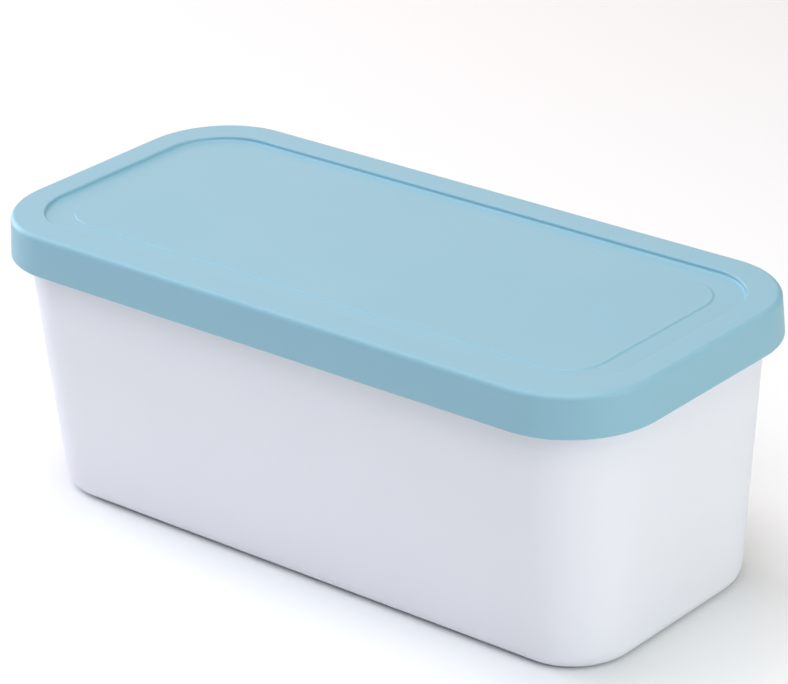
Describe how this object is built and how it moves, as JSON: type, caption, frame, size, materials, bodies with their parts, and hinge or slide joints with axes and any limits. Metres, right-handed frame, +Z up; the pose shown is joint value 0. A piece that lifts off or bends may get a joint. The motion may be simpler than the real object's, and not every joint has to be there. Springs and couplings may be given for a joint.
{
  "type": "ice cream storage tub",
  "caption": "Long loaf-shaped freezer tub in white plastic, shut with a soft pale blue press-on lid that has a shallow recess in its top.",
  "frame": {"origin": "centre of the flat underside that the tub rests on", "axes": "+X along the tub's length, +Y across it, +Z up through the lid"},
  "size_m": [0.2608, 0.1204, 0.1008],
  "materials": {
    "tub_plastic": "opaque white with a faint cool tint, finely matt",
    "lid_silicone": "opaque pale blue silicone, smooth and softly matt"
  },
  "bodies": {
    "root": {"tub": "tub_plastic", "lid": "lid_silicone"}
  },
  "joints": []
}
